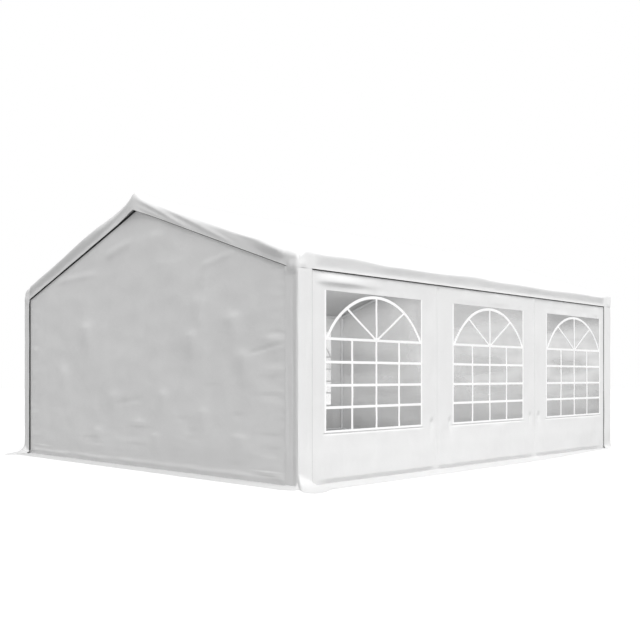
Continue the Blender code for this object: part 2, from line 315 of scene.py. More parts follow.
def coated_steel_material():
    """White powder coat with the faint dimples of its cure."""
    material, tree, shader = new_material("white_powder_coat", 0.35)
    place = on_object(tree)
    spots = node(tree, "ShaderNodeTexNoise", Vector=place, Scale=6.0, Detail=4.0)
    tone = mixed(tree, spots.outputs["Fac"], (0.84, 0.85, 0.86, 1.0), (0.91, 0.92, 0.93, 1.0))
    tree.links.new(tone, shader.inputs["Base Color"])
    dimples = node(tree, "ShaderNodeTexNoise", Vector=place, Scale=900.0, Detail=1.0)
    skin = node(tree, "ShaderNodeBump", Strength=0.15, Distance=0.0004, Height=dimples.outputs["Fac"])
    tree.links.new(skin.outputs["Normal"], shader.inputs["Normal"])
    return material


def shadow_strip_material():
    """Painted shadow: a near-black woven strip that stands in for the shadow gap under the fascia and beside
    the corner wraps.
    """
    material, tree, shader = new_material("painted_shadow_strip", 0.9)
    weave = node(tree, "ShaderNodeGroup", {"node_tree": WEAVE}, Cloth=on_cloth(tree),
                 Threads_per_metre=1500.0)
    tree.links.new(mixed(tree, weave.outputs["Height"], grey(0.03), grey(0.06)), shader.inputs["Base Color"])
    return material


WEAVE = make_weave_group()
CREASES = make_creases_group()
COVER_CLOTH = cloth_material("white_cover_cloth", 0.74, 0.82, 0.15)
BAR_CLOTH = cloth_material("white_window_bars", 0.94, 0.98, 0.1)
CLEAR_FILM = film_material()
POWDER_COAT = coated_steel_material()
# Painted shadow: the near-black strips under the fascia and beside the corner wraps
SHADOW_STRIP = shadow_strip_material()


# Sheets: each is laid out flat as it was cut, then put in its place point by point

def flat_grid(us, vs, keep=None):
    """A flat grid through given places, less the cells whose middles aren't kept."""
    bm = bmesh.new()
    bmesh.ops.create_grid(bm, x_segments=len(us) - 1, y_segments=len(vs) - 1, size=0.5)
    for vert in bm.verts:
        column = round((vert.co.x + 0.5) * (len(us) - 1))
        row = round((vert.co.y + 0.5) * (len(vs) - 1))
        vert.co = (us[column], vs[row], 0)
    if keep:
        cut_out = [face for face in bm.faces if not keep(*face.calc_center_median().xy)]
        bmesh.ops.delete(bm, geom=cut_out, context="FACES")
    return bm


def hang(bm, place, outward, thickness=CLOTH_T):
    """Puts a flat sheet in its place, with its outside facing outward, and gives it its thickness."""
    layer = bm.loops.layers.uv.new("cloth")
    for face in bm.faces:
        for loop in face.loops:
            loop[layer].uv = loop.vert.co.xy
    for vert in bm.verts:
        vert.co = place(vert.co.x, vert.co.y)
    bmesh.ops.remove_doubles(bm, verts=bm.verts, dist=WELD)
    bm.normal_update()
    facing = sum((face.normal * face.calc_area() for face in bm.faces), Vector())
    if facing.dot(Vector(outward)) < 0:
        bmesh.ops.reverse_faces(bm, faces=bm.faces)
    bmesh.ops.solidify(bm, geom=bm.faces[:], thickness=thickness)
    return bm


def piece(name, bm, material):
    """Makes a piece of the tent, smooth but for its sharp edges. The whole tent is one body."""
    mesh = bpy.data.meshes.new(name)
    bm.to_mesh(mesh)
    bm.free()
    mesh.shade_smooth()
    mesh.set_sharp_from_angle(angle=SHARP_ANGLE)
    mesh.materials.append(material)
    obj = bpy.data.objects.new(name, mesh)
    bpy.context.scene.collection.objects.link(obj)
    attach(obj, "root")
    return obj


def rounded_corner(x, y, outer_x, outer_y, radius):
    """Pulls a point of a square corner in plan on to a rounded one."""
    dx, dy = abs(x) - (outer_x - radius), abs(y) - (outer_y - radius)
    if dx <= 0 or dy <= 0:
        return x, y
    shrink = max(dx, dy) / math.hypot(dx, dy)
    round_x = outer_x - radius + dx * shrink
    round_y = outer_y - radius + dy * shrink
    return math.copysign(round_x, x), math.copysign(round_y, y)


# Roof cover: one sheet over both slopes, turned down along the eaves and the gables

RIDGE_R = 0.06  # bends of the cloth over the ridge, the eaves and the gables
EAVE_R = 0.030
GABLE_R = 0.055
COVER_OUT = 0.008  # how far the cloth stands proud of the solid cover
EAVE_X = OUTER_X + COVER_OUT
GABLE_Y = OUTER_Y + COVER_OUT
ROOF_SAG = 0.012  # between the frames
ROOF_REST = 0.004  # how high the cloth lies where tubes carry it
TUBE_NEAR = 0.13  # how near a tube the cloth is calmer
TUBE_CALM = 0.85  # and by what share

# Corners of the cover, front and rear
CORNER_R = 0.045
CORNER_TOP_LESS = (0.003, 0.020)  # how much smaller that radius is at the top of the cover
CORNER_PROUD = (0.014, 0.049)  # how far the corners stand out beyond the gables' planes
CORNER_TOP_PROUD = (0.003, 0.045)  # the same at the top of the cover
CORNER_FADE = (0.09, 0.17)  # from a corner, where that dies away along the gable

# Free edges of the corner wraps: on the long sides, and on the gables at the left and the right
WRAP_SIDE = 0.185
SIDE_EDGE = GABLE_Y + CORNER_PROUD[0] - WRAP_SIDE
GABLE_EDGES = (EAVE_X - 0.140, EAVE_X - 0.185)

# The cover's section, as distances along the cloth from the ridge, and from the middle along the tent
RIDGE_ARC = RIDGE_R * SLOPE
EAVE_ARC = EAVE_R * (math.pi / 2 - SLOPE)
SLOPE_RUN = (EAVE_X - RIDGE_R * math.sin(SLOPE) - EAVE_R * (1 - math.sin(SLOPE))) / math.cos(SLOPE)
RIDGE_CREST = RIDGE_TOP - RIDGE_R * (1 / math.cos(SLOPE) - 1)
SLOPE_TOP = RIDGE_CREST - RIDGE_R * (1 - math.cos(SLOPE))
HANG_Z = SLOPE_TOP - SLOPE_RUN * math.sin(SLOPE) - EAVE_R * math.cos(SLOPE)
EAVE_AT = RIDGE_ARC + SLOPE_RUN  # where the bend over the eave starts
HANG_AT = EAVE_AT + EAVE_ARC  # where the eave's fascia starts to hang
CROSS_HALF = HANG_AT + HANG_Z - HEM_Z
GABLE_ARC = GABLE_R * math.pi / 2
GABLE_AT = GABLE_Y - GABLE_R
GABLE_HANG_AT = GABLE_AT + GABLE_ARC
LONG_HALF = GABLE_HANG_AT + FASCIA_DROP - GABLE_R

# Long folds in the gables' fascias: start and end, each as distances from the apex down the rafter and below
# the fascia's top edge, then width and height
FASCIA_FOLDS = (
    ((0.06, 0.035), (0.98, 0.125), 0.020, 0.009),
    ((0.45, 0.020), (1.70, 0.115), 0.018, 0.007),
    ((0.10, 0.100), (0.75, 0.130), 0.014, 0.004),
    ((-0.10, 0.060), (-1.10, 0.085), 0.014, 0.006),
    ((-0.60, 0.030), (-1.90, 0.060), 0.014, 0.005),
)


def across_roof(a):
    """The cover's section: where a point at distance a from the ridge comes to, across and up."""
    far = abs(a)
    if far < RIDGE_ARC:
        turn = far / RIDGE_R
        x, z = RIDGE_R * math.sin(turn), -RIDGE_R * (1 - math.cos(turn))
    else:
        straight = min(far, EAVE_AT) - RIDGE_ARC
        x = RIDGE_R * math.sin(SLOPE) + straight * math.cos(SLOPE)
        z = -RIDGE_R * (1 - math.cos(SLOPE)) - straight * math.sin(SLOPE)
        if far > EAVE_AT:
            turn = SLOPE + min(far - EAVE_AT, EAVE_ARC) / EAVE_R
            x += EAVE_R * (math.sin(turn) - math.sin(SLOPE))
            z -= EAVE_R * (math.cos(SLOPE) - math.cos(turn))
        z -= max(far - HANG_AT, 0.0)
    return math.copysign(x, a), RIDGE_CREST + z


def along_roof(b):
    """How far along the tent a point at b from the middle comes to, and its share of the drop at a gable."""
    far = abs(b)
    turn = min(max(far - GABLE_AT, 0.0), GABLE_ARC) / GABLE_R
    y = min(far, GABLE_AT) + GABLE_R * math.sin(turn)
    drop = GABLE_R * (1 - math.cos(turn)) + max(far - GABLE_HANG_AT, 0.0)
    return math.copysign(y, b), drop / FASCIA_DROP


def gable_hem_z(x):
    """Height of the gables' hem, which follows the rafters and runs out level at the corners."""
    knee = OUTER_X - HEM_KNEE
    knee_z = RIDGE_TOP - PITCH * knee - FASCIA_DROP
    if abs(x) < knee:
        return knee_z + PITCH * (knee - abs(x))
    return knee_z + (HEM_Z - knee_z) * min((abs(x) - knee) / HEM_KNEE, 1.0)


def corner_wedge(x, proud):
    """How far a gable's end stands out towards its corner, which the leg pushes out."""
    return proud * (1 - smooth(*CORNER_FADE, EAVE_X - abs(x)))


def eave_fascia_relief(y, share):
    """How far an eave's fascia stands out below its lip. Share is 0 where it bends down and 1 at its hem."""
    lip = 0.022 + 0.007 * ripple(y, 0.0, 0.6, 4.0)
    relief = lip * (1 - smooth(0.10, 0.85, share))
    relief += 0.003 * ripple(y, share * 0.3, 0.16, 7.0) + 0.002 * ripple(y, share * 0.2, 0.05, 2.0) * share
    return relief + 0.003 * smooth(0.8, 1.0, share)


def gable_fascia_relief(x, share):
    """How far a gable's fascia stands out. x is as seen from outside, positive towards the right corner."""
    lip = 0.004 + 0.014 * smooth(1.0, 1.6, x) + 0.014 * smooth(1.6, 1.95, x)
    lip += 0.004 * ripple(x, 0.0, 0.5, 5.0)
    belly = smooth(0.0, 0.38, share) * (1 - smooth(0.38, 0.80, share))
    right_belly = bump(x - 2.20, 0.20)
    relief = lip * (1 - 0.8 * right_belly) * (1 - smooth(0.10, 0.48, share))
    relief += 0.003 * ripple(x, share * 0.3, 0.16, 9.0)
    relief += (0.028 * smooth(-0.3, -0.9, x) + 0.034 * right_belly) * belly
    relief += 0.002 * share ** 3 + 0.006 * (1 - smooth(-0.5, 0.0, x)) * smooth(0.6, 1.0, share)
    relief += 0.035 * bump(x, 0.22)
    run = math.copysign(abs(x) / math.cos(SLOPE), x)
    for start, end, width, height in FASCIA_FOLDS:
        relief += height * fold(run, share * FASCIA_DROP, start, end, width)
    return relief


def eave_lift(y):
    """How far the cloth rides up over the eave tube, place by place."""
    lift = 0.016 + 0.010 * ripple(y, 0.0, 0.55, 1.5)
    return lift + 0.022 * bump(y + 2.45, 0.45) + 0.020 * bump(y + 0.37, 0.35)


def gable_lift(x):
    """How far the cloth rides up over an end rafter: pinched at the ridge, puffed up on the left half."""
    lift = 0.035 * bump(x, 0.07) + 0.022 * bump(x, 0.30) + 0.026 * bump(x - 2.15, 0.28)
    if x < 0:
        lift += 0.055 * bump(x + 1.0, 0.75) + 0.035 * bump(x + 2.2, 0.6)
    return lift


def roof_slack(x, y):
    """How far the slopes sag and ripple between the tubes that carry them."""
    on_slope = smooth(0.0, 0.35, abs(x)) * (1 - smooth(EAVE_X - 0.25, EAVE_X, abs(x)))
    between_frames = 0.5 + 0.5 * math.cos(math.pi * y)
    slack = -ROOF_SAG * on_slope * between_frames * (1 - smooth(GABLE_AT - 0.3, GABLE_AT, abs(y)))
    slack += 0.006 * ripple(x, y, 0.9, 3.0) + 0.003 * ripple(x, y, 0.25, 8.0)
    for off_tube in (abs(x) - PURLIN_X, x, abs(y) - MID_FRAME_Y):
        slack *= 1 - TUBE_CALM * bump(off_tube, TUBE_NEAR)
    return slack


def roof_lift(x, y, facing_x):
    """How far the cloth rides up: on the slopes, along the eaves, over the end rafters and at the corners."""
    lift = roof_slack(x, y) + ROOF_REST
    by_corner = smooth(0.03, 0.10, GABLE_Y - abs(y))
    over_wrap = 0.024 * bump(GABLE_Y + y - 0.15, 0.11)
    lift += smooth(EAVE_X - 0.35, EAVE_X, abs(x)) * by_corner * (eave_lift(y) + over_wrap)
    lift += smooth(GABLE_AT - 0.35, GABLE_Y, abs(y)) * gable_lift(facing_x)
    from_corner = math.hypot(EAVE_X - abs(x), GABLE_Y - abs(y))
    if y < 0:
        return lift + 0.010 * bump(from_corner - 0.06, 0.07)
    return lift + 0.035 * bump(from_corner, 0.08)


def place_cover(a, b):
    """Where a point of the flat cover comes to, at a from the ridge and b from the middle."""
    x, z = across_roof(a)
    y, fallen = along_roof(b)
    facing_x = math.copysign(x, -x * b)  # as seen from outside that gable
    share_side = max(abs(a) - EAVE_AT, 0.0) / (CROSS_HALF - EAVE_AT)
    share_gable = max(abs(b) - GABLE_AT, 0.0) / (LONG_HALF - GABLE_AT)
    lift = roof_lift(x, y, facing_x) * (1 - smooth(0.0, 0.9, max(share_side, share_gable)))
    z += (gable_hem_z(x) - z) * fallen + lift

    rear = b > 0
    near_top = smooth(HEM_Z + 0.02, HEM_Z + 0.10, z)
    proud = CORNER_PROUD[rear] + (CORNER_TOP_PROUD[rear] - CORNER_PROUD[rear]) * near_top
    off_side_wrap = smooth(WRAP_SIDE, WRAP_SIDE + 0.05, GABLE_Y - abs(y))
    off_gable_wrap = smooth(0.0, 0.05, GABLE_EDGES[x > 0] - abs(x))
    if share_side > 0:
        puff = 0.007 * bump(share_side - 0.75, 0.25) * bump(GABLE_Y - abs(y) - 0.06, 0.035)
        relief = eave_fascia_relief(y, share_side) * off_side_wrap + puff
        x += math.copysign(relief * smooth(0.0, 0.15, share_side), x)
    if share_gable > 0:
        relief = gable_fascia_relief(facing_x, share_gable) * off_gable_wrap + corner_wedge(x, proud)
        y += math.copysign(relief * smooth(0.0, 0.15, share_gable), y)
    x, y = rounded_corner(x, y, EAVE_X, GABLE_Y + proud, CORNER_R - CORNER_TOP_LESS[rear] * near_top)
    return Vector((x, y, z))


def make_roof_cover():
    half = joined(
        [0.0, RIDGE_ARC],
        spaced(RIDGE_ARC, EAVE_AT - 0.15, 0.04),
        spaced(EAVE_AT - 0.15, EAVE_AT, 0.0125),
        spaced(EAVE_AT, HANG_AT, 0.009),
        spaced(HANG_AT, CROSS_HALF, 0.011),
    )
    across = [-a for a in reversed(half[1:])] + half
    end = joined(
        spaced(GABLE_AT - 0.15, GABLE_AT, 0.0125),
        spaced(GABLE_AT, GABLE_HANG_AT, 0.011),
        spaced(GABLE_HANG_AT, LONG_HALF, 0.010),
    )
    along = [-b for b in reversed(end)] + spaced(-end[0], end[0], 0.036)[1:-1] + end

    def keep(a, b):
        return abs(a) < HANG_AT or abs(b) < GABLE_HANG_AT

    bm = flat_grid(across, along, keep)
    hang(bm, place_cover, (0, 0, 1))
    cover = piece("roof_sheet", bm, COVER_CLOTH)
    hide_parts("roof_cover")


# Gable walls: plain sheets up to the rafters

HEM_UP = 0.006  # a wall's hem, over its ground flap
WALL_REACH = 0.018  # how far a wall reaches past the middles of the corner legs
SHADOW_STRIP_W = 0.030  # width of a painted shadow strip: a near-black strip that stands in for the shadow under the fascia
GABLE_SHADOW_STRIP_W = 0.034  # width of the painted shadow strips under the corner wraps, on the gables and on the long walls
SIDE_SHADOW_STRIP_W = 0.06
SHADOW_STRIP_OFF = 0.0012  # how far a painted shadow strip's outside lies off its wall
SHADOW_STRIP_LOW = 0.04  # height where the painted shadow strips beside the corner wraps end
SHADOW_STRIP_SHOWS = 0.008  # how much of a painted shadow strip shows below the fascia
SHADOW_STRIP_PEEPS = 0.0085  # how far a painted shadow strip reaches out from behind a front corner wrap on a long wall, as a line of painted shade


def painted_shadow_strip(name, to_place, outward, width, ends, low_at):
    """Painted shadow: near-black strips along the top and the ends of a wall, where the shadow lies under the
    fascia and beside the corner wraps.
    """
    bm = flat_grid(spaced(-ends[0], ends[1], 0.025), [0.0, SHADOW_STRIP_W])
    hang(bm, lambda u, v: to_place(u, low_at(u) + v), outward, SHADOW_STRIP_T)
    shadow_strips = [piece(f"{name}_top", bm, SHADOW_STRIP)]
    for label, turn, end in (("minus", -1, ends[0]), ("plus", 1, ends[1])):
        bm = flat_grid([0.0, width], spaced(SHADOW_STRIP_LOW, HEM_Z, 0.02))
        hang(bm, lambda u, v, turn=turn, end=end: to_place(turn * (end + u), v), outward, SHADOW_STRIP_T)
        shadow_strips.append(piece(f"{name}_{label}", bm, SHADOW_STRIP))
    return shadow_strips


def foot_swell(x, z):
    """The fold above a gable wall's hem, where it turns in to the ground rail."""
    middle = 0.055 + 0.012 * ripple(x, 0.0, 0.5, 5.0)
    return 0.008 * (0.8 + 0.9 * ripple(x, 0.0, 0.3, 8.0)) * bump(z - middle, 0.026)


DENT_SHARE = 0.6  # how much of its height a dent gets
DENT_REACH = (3, 8)  # half widths and half heights that a dent is felt over

# Dents and puckers in a gable wall, as seen from outside: across, up, half width, half height, how far out.
# One that stands out catches light on its top side, and one that goes in is dark there.
GABLE_DENTS = (
    (-1.02, 1.55, 0.11, 0.060, 0.022), (0.98, 1.39, 0.11, 0.060, 0.022), (1.62, 1.54, 0.11, 0.060, 0.022),
    (1.78, 1.17, 0.10, 0.060, 0.022), (0.33, 2.47, 0.18, 0.055, 0.018), (1.08, 1.73, 0.10, 0.080, 0.014),
    (-1.55, 1.03, 0.10, 0.070, 0.014), (-0.46, 0.76, 0.11, 0.060, 0.016), (0.49, 0.79, 0.08, 0.050, 0.014),
    (0.05, 0.49, 0.12, 0.035, 0.012), (1.18, 0.63, 0.08, 0.040, 0.014), (1.73, 0.40, 0.10, 0.035, 0.012),
    (0.35, 0.35, 0.08, 0.035, 0.012), (-0.78, 0.36, 0.10, 0.040, 0.012), (0.70, 2.16, 0.24, 0.060, 0.012),
    (1.21, 2.05, 0.12, 0.080, 0.012), (2.22, 1.335, 0.12, 0.030, 0.018), (2.22, 1.050, 0.14, 0.030, 0.010),
    (2.20, 1.385, 0.13, 0.016, -0.006), (2.18, 0.975, 0.17, 0.018, -0.006),
    (2.16, 0.815, 0.20, 0.014, -0.008), (2.18, 0.445, 0.17, 0.018, -0.007),
    (2.17, 0.315, 0.13, 0.030, -0.009), (2.10, 2.045, 0.10, 0.008, -0.004),
    (2.14, 2.010, 0.10, 0.008, -0.004), (2.20, 1.975, 0.08, 0.008, -0.004),
    (-2.27, 1.60, 0.08, 0.018, 0.005), (-2.25, 1.325, 0.07, 0.022, 0.008), (-2.27, 1.05, 0.08, 0.018, 0.005),
    (-2.27, 0.535, 0.09, 0.020, 0.006), (-0.96, 0.275, 0.20, 0.016, -0.006),
    (-0.86, 0.195, 0.20, 0.016, 0.005), (0.07, 0.430, 0.18, 0.016, -0.005),
    (0.02, 0.245, 0.16, 0.016, -0.005), (1.66, 0.130, 0.10, 0.040, -0.007),
    (2.12, 0.105, 0.16, 0.008, 0.010), (2.14, 0.070, 0.15, 0.007, -0.008),
    (-2.10, 0.120, 0.20, 0.010, 0.006), (0.85, 0.560, 0.14, 0.014, -0.004),
    (1.30, 0.900, 0.10, 0.014, -0.004), (1.70, 0.620, 0.09, 0.014, -0.005),
    (-1.70, 0.620, 0.12, 0.014, -0.003),
)

# Long creases in a gable wall: start, end, width and height
GABLE_CREASES = (
    ((-0.62, 2.350), (-0.10, 2.470), 0.045, 0.008),
    ((-1.70, 2.150), (-0.85, 2.175), 0.040, 0.007),
    ((1.15, 2.090), (1.62, 2.180), 0.035, 0.007),
    ((1.87, 1.205), (2.34, 1.290), 0.014, -0.006),
    ((-0.40, 0.680), (0.10, 0.745), 0.030, -0.004),
    ((1.10, 1.500), (1.20, 1.950), 0.050, 0.005),
)


def gable_swell(x, z):
    """How far a gable wall stands out from its plane. x is as seen from outside."""
    edge = smooth(0.0, 0.35, GABLE_EDGES[0] - abs(x)) * smooth(0.05, 0.35, z)
    edge *= smooth(0.05, 0.4, GABLE_TOP - PITCH * abs(x) - z)
    swell = edge * (0.003 + 0.010 * ripple(x, z, 0.75, 2.0) + 0.004 * ripple(x * 0.6, z, 0.18, 6.0))
    pucker = smooth(0.0, 0.05, GABLE_EDGES[0] + 0.01 - abs(x)) * (1 - smooth(0.1, 0.5, HALF_SPAN - abs(x)))
    swell += 0.003 * pucker * ripple(x * 0.25, z, 0.055, 3.0)
    low = (1 - smooth(0.2, 0.8, z)) * smooth(0.08, 0.14, z) * max(ripple(x, z, 0.7, 12.0), 0.0)
    swell += 0.006 * low * ripple(x * 0.25, z, 0.06, 8.0)
    swell += foot_swell(x, z) * (1 - smooth(GABLE_EDGES[0] - 0.10, GABLE_EDGES[0] - 0.01, abs(x)))
    for across, up, half_width, half_height, height in GABLE_DENTS:
        if abs(x - across) < DENT_REACH[0] * half_width and abs(z - up) < DENT_REACH[1] * half_height:
            swell += DENT_SHARE * height * ledge(x - across, z - up, half_width, half_height)
    for start, end, width, height in GABLE_CREASES:
        swell += height * fold(x, z, start, end, width)
    return swell


def make_gable_wall(end, sy):
    half = HALF_SPAN + WALL_REACH
    bm = flat_grid(
        spaced(-half, half, 0.025),
        joined(spaced(HEM_UP, 0.14, 0.005), spaced(0.14, 0.5, 0.0125), spaced(0.5, GABLE_TOP, 0.02)),
    )
    for _, sx in SIDES:
        bmesh.ops.bisect_plane(
            bm, geom=bm.verts[:] + bm.edges[:] + bm.faces[:], dist=WELD, clear_outer=True,
            plane_co=(0, GABLE_TOP, 0), plane_no=(sx * PITCH, 1, 0),
        )
    hang(bm, lambda x, z: Vector((x, sy * (WALL_Y + gable_swell(-sy * x, z)), z)), (0, sy, 0))
    name = f"gable_wall_{end}"
    wall = piece(f"gable_sheet_{end}", bm, COVER_CLOTH)
    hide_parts(name)

    def on_wall(x, z):
        return Vector((x, sy * (WALL_Y + gable_swell(-sy * x, z) + SHADOW_STRIP_OFF), z))

    def low_at(x):
        wider = 0.004 * smooth(0.0, 0.2, sy * x) * (1 - smooth(1.0, 1.8, sy * x))
        return gable_hem_z(x) - SHADOW_STRIP_SHOWS - wider

    # Painted shadow under the gable's fascia and beside its corner wraps
    shadow_strips = painted_shadow_strip(f"gable_tape_{end}", on_wall, (0, sy, 0), GABLE_SHADOW_STRIP_W, GABLE_EDGES, low_at)


# Long walls, each with three windows

SEAM_YS = (-1.0, 1.0)
TIE_YS = (-1.070, -0.745, 0.914, 1.126)  # dents where ties pull the wall to the legs
TIE_Z = 0.525
SAG_Y = -2.45  # middle of the fold that sags over the front window
SAG_Z = 1.857
BORDER_W = 0.020  # strips welded round three edges of each film
HEM_TUCK = 0.020  # how far the hem of a long wall turns in


def side_foot(y, z):
    """How far a long wall's foot stands out over its ground flap, with its hem tucked back in."""
    out = (0.004 + 0.003 * ripple(y, 0.0, 0.35, 1.0)) * (1 - smooth(0.04, 0.20, z))
    tuck = HEM_TUCK * (1 - smooth(0.002, 0.056 + 0.008 * ripple(y, 0.0, 0.6, 3.0), z))
    for middle in SEAM_YS:
        tuck *= 1 - bump(y - middle, 0.06)
    return (out - tuck) * (1 - smooth(SIDE_EDGE - 0.25, SIDE_EDGE - 0.02, abs(y)))


def side_swell(y, z):
    """How far a long wall stands out from its plane."""
    calm = smooth(0.0, 0.12, HALF_LENGTH - 0.15 - abs(y)) * smooth(0.03, 0.25, z)
    calm *= smooth(0.0, 0.06, HEM_Z - z)
    to_window = min(abs(y - middle) for middle in WINDOW_YS) - WINDOW_HALF
    beside = smooth(0.0, 0.08, to_window)
    above = smooth(HEAD + 0.01, HEAD + 0.06, z)
    below = 1 - smooth(SILL - 0.10, SILL - 0.02, z)
    free = max(beside, above, below)
    swell = 0.005 * ripple(y * 3.0, z * 0.5, 0.45, 2.0) + 0.006 * ripple(y, z, 0.5, 4.0)
    swell += 0.002 * ripple(y * 6, z * 0.6, 0.3, 9.0)
    swell *= free
    for middle in SEAM_YS:
        swell += 0.008 * bump(y - middle, 0.014) - 0.006 * bump(y - middle - 0.04, 0.018)
    for tie in TIE_YS:
        swell -= 0.024 * bump(y - tie, 0.018) * bump(z - TIE_Z, 0.014 if z > TIE_Z else 0.12)
    swell += 0.026 * bump(z - SAG_Z, 0.06 if z > SAG_Z else 0.026) * bump(y - SAG_Y, 0.35)
    on_border = to_window < BORDER_W and SILL - BORDER_W < z < HEAD
    if not on_border:
        beyond = max(to_window - BORDER_W, (SILL - BORDER_W - z) if to_window < BORDER_W else 0.0)
        swell -= 0.008 * bump(beyond - 0.010, 0.007) * (1 - smooth(HEAD - 0.05, HEAD, z))
    return calm * swell + side_foot(y, z)


def make_side_wall(side, sx):
    reach = HALF_LENGTH + WALL_REACH
    stops = [-reach]
    for middle in WINDOW_YS:
        stops += [middle - WINDOW_HALF, middle + WINDOW_HALF]
    stops.append(reach)
    up = joined(
        spaced(HEM_UP, 0.08, 0.0045),
        spaced(0.08, 0.14, 0.01),
        spaced(0.14, SILL - 0.06, 0.02),
        spaced(SILL - 0.06, SILL, 0.0075),
        spaced(SILL, HEAD, CELL),
        spaced(HEAD, WALL_TOP, 0.012),
    )

    def keep(y, z):
        in_window = any(abs(y - middle) < WINDOW_HALF for middle in WINDOW_YS)
        return not (in_window and SILL < z < HEAD)

    bm = flat_grid(stepped(stops, 0.02), up, keep)
    hang(bm, lambda y, z: Vector((sx * (WALL_X + side_swell(y, z)), y, z)), (sx, 0, 0))
    wall = piece(f"side_sheet_{side}", bm, COVER_CLOTH)
    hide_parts(f"side_wall_{side}")

    def on_wall(y, z):
        return Vector((sx * (WALL_X + side_swell(y, z) + SHADOW_STRIP_OFF), y, z))

    def low_at(_):
        return HEM_Z - SHADOW_STRIP_SHOWS

    ends = (SIDE_EDGE - SHADOW_STRIP_PEEPS, SIDE_EDGE)
    # Painted shadow under the eave's fascia and beside the corner wraps
    shadow_strips = painted_shadow_strip(f"side_tape_{side}", on_wall, (sx, 0, 0), SIDE_SHADOW_STRIP_W, ends, low_at)


# Windows: clear film with white bars, and white borders welded round three of its edges

FILM_IN = 0.001  # how far the film lies behind the wall's plane
FILM_CALM = 0.08  # how far in from its edges the film lies calmer
BARS_OFF = 0.0016  # how far the outsides of the bars, the arch and the spokes lie off the film
ARCH_OFF = 0.0020
SPOKES_OFF = 0.0024
BAR_W = 0.025
ARCH_W = 0.029
SPOKE_HALF = BAR_W * 0.42
BAR_YS = (-0.3525, 0.0, 0.3525)
BAR_ZS = (0.70, 0.905, 1.12, 1.335)
SPRINGING = BAR_ZS[-1]
ARCH_TOP = 1.752
ARCH_HALF = 0.700
ARCH_RISE = ARCH_TOP - SPRINGING
ARCH_R = (ARCH_HALF ** 2 + ARCH_RISE ** 2) / (2 * ARCH_RISE)
ARCH_SWEEP = 2 * math.asin(ARCH_HALF / ARCH_R)
ARCH_STEPS = 48
SPOKE_END = (0.43, 0.29)  # from the middle of the springing bar, across and up
FILM_LAYERS = {"front": 1.0, "middle": 3.4, "rear": 5.8}


def film_wave(y, z, bay):
    """How far a window's film stands out from its plane: soft waves that die away at its edges."""
    layer = FILM_LAYERS[bay]
    edge = smooth(0.0, FILM_CALM, WINDOW_HALF - abs(y))
    edge *= smooth(0.0, FILM_CALM, z - SILL) * smooth(0.0, FILM_CALM, HEAD - z)
    wave = 0.006 * ripple(y * 0.5, z, 0.22, layer) + 0.003 * ripple(y, z * 0.4, 0.2, layer + 9)
    return edge * wave


def is_bar(y, z):
    """Whether a cell of the bars' grid is cloth, by its middle."""
    in_row = z < SPRINGING + BAR_W / 2 and any(abs(z - bar) < BAR_W / 2 for bar in BAR_ZS)
    in_column = any(abs(y - bar) < BAR_W / 2 for bar in BAR_YS) and z < SPRINGING
    in_tall = abs(y) < BAR_W / 2 and z < ARCH_TOP
    border = z < SILL or abs(y) > WINDOW_HALF
    return in_row or in_column or in_tall or border


def flat_bars():
    """Bars that cross each other, and the borders: one lattice, cut from a grid."""
    ys = [-WINDOW_HALF - BORDER_W, -WINDOW_HALF]
    for bar in BAR_YS:
        ys += [bar - BAR_W / 2, bar + BAR_W / 2]
    ys += [WINDOW_HALF, WINDOW_HALF + BORDER_W]
    zs = [SILL - BORDER_W, SILL]
    for bar in BAR_ZS:
        zs += [bar - BAR_W / 2, bar + BAR_W / 2]
    zs += [ARCH_TOP, HEAD]
    return flat_grid(stepped(ys, CELL), stepped(zs, CELL), is_bar)


def flat_arch():
    """The arch, spun from one short edge."""
    bm = bmesh.new()
    start = ARCH_SWEEP / 2
    centre = Vector((0, ARCH_TOP - ARCH_R, 0))
    ends = []
    for radius in (ARCH_R - ARCH_W / 2, ARCH_R + ARCH_W / 2):
        ends.append(bm.verts.new(centre + radius * Vector((math.sin(start), math.cos(start), 0))))
    edge = bm.edges.new(ends)
    bmesh.ops.spin(bm, geom=ends + [edge], cent=centre, axis=(0, 0, 1), angle=ARCH_SWEEP, steps=ARCH_STEPS)
    return bm


def flat_spoke(turn):
    """A narrow strip from the middle of the springing bar, towards one hand."""
    run = Vector((turn * SPOKE_END[0], SPOKE_END[1], 0))
    bm = flat_grid(spaced(0, run.length, CELL), [-SPOKE_HALF, SPOKE_HALF])
    bmesh.ops.rotate(bm, verts=bm.verts, matrix=Matrix.Rotation(math.atan2(run.y, run.x), 3, "Z"))
    bmesh.ops.translate(bm, verts=bm.verts, vec=Vector((0, SPRINGING, 0)))
    return bm


def make_window(side, sx, bay, middle):
    def on_film(off):
        """How a flat piece comes to its place, off the film."""
        return lambda y, z: Vector((sx * (WALL_X - FILM_IN + off + film_wave(y, z, bay)), middle + y, z))

    def trim(name, bm, off):
        """A piece of white trim, off the film."""
        hang(bm, on_film(off), (sx, 0, 0), BAR_T)
        return piece(name, bm, BAR_CLOTH)

    label = f"{side}_{bay}"
    bm = flat_grid(spaced(-WINDOW_HALF, WINDOW_HALF, CELL), spaced(SILL, HEAD, CELL))
    film = piece(f"film_{label}", hang(bm, on_film(0), (sx, 0, 0), FILM_T), CLEAR_FILM)
    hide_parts(f"window_film_{label}")
    lattice = trim(f"bars_{label}", flat_bars(), BARS_OFF)
    arch = trim(f"arch_{label}", flat_arch(), ARCH_OFF)
    for hand, turn in (("near", 1), ("far", -1)):
        trim(f"spoke_{label}_{hand}", flat_spoke(turn), SPOKES_OFF)


# Corner wraps: sheet round each corner leg that spreads into a rounded foot

